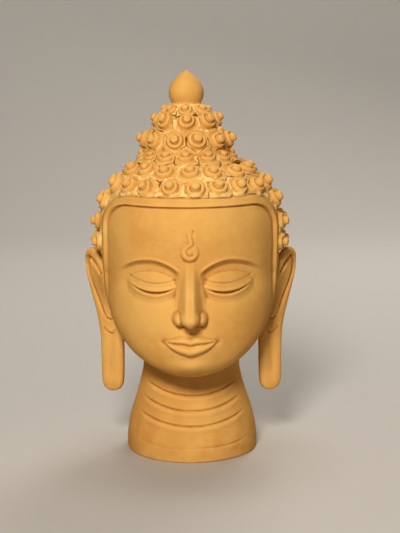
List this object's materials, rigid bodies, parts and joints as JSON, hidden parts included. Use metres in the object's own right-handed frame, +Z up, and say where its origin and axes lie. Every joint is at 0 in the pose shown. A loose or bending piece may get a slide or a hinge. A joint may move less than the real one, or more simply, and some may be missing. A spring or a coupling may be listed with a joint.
{
  "type": "buddha head sculpture",
  "caption": "Terracotta head of a Buddha on a flared neck, with snail-shell curls, bud finial, hairline border and long split ear lobes, resting on a flat underside",
  "frame": {"origin": "centre of the flat underside of the neck", "axes": "+Z up along the height, the face looks towards -Y, +X to the viewer's right"},
  "size_m": [0.192, 0.2011, 0.34],
  "materials": {
    "terracotta": "matt unglazed fired clay"
  },
  "bodies": {
    "root": {"buddha_head": "terracotta"}
  },
  "joints": []
}
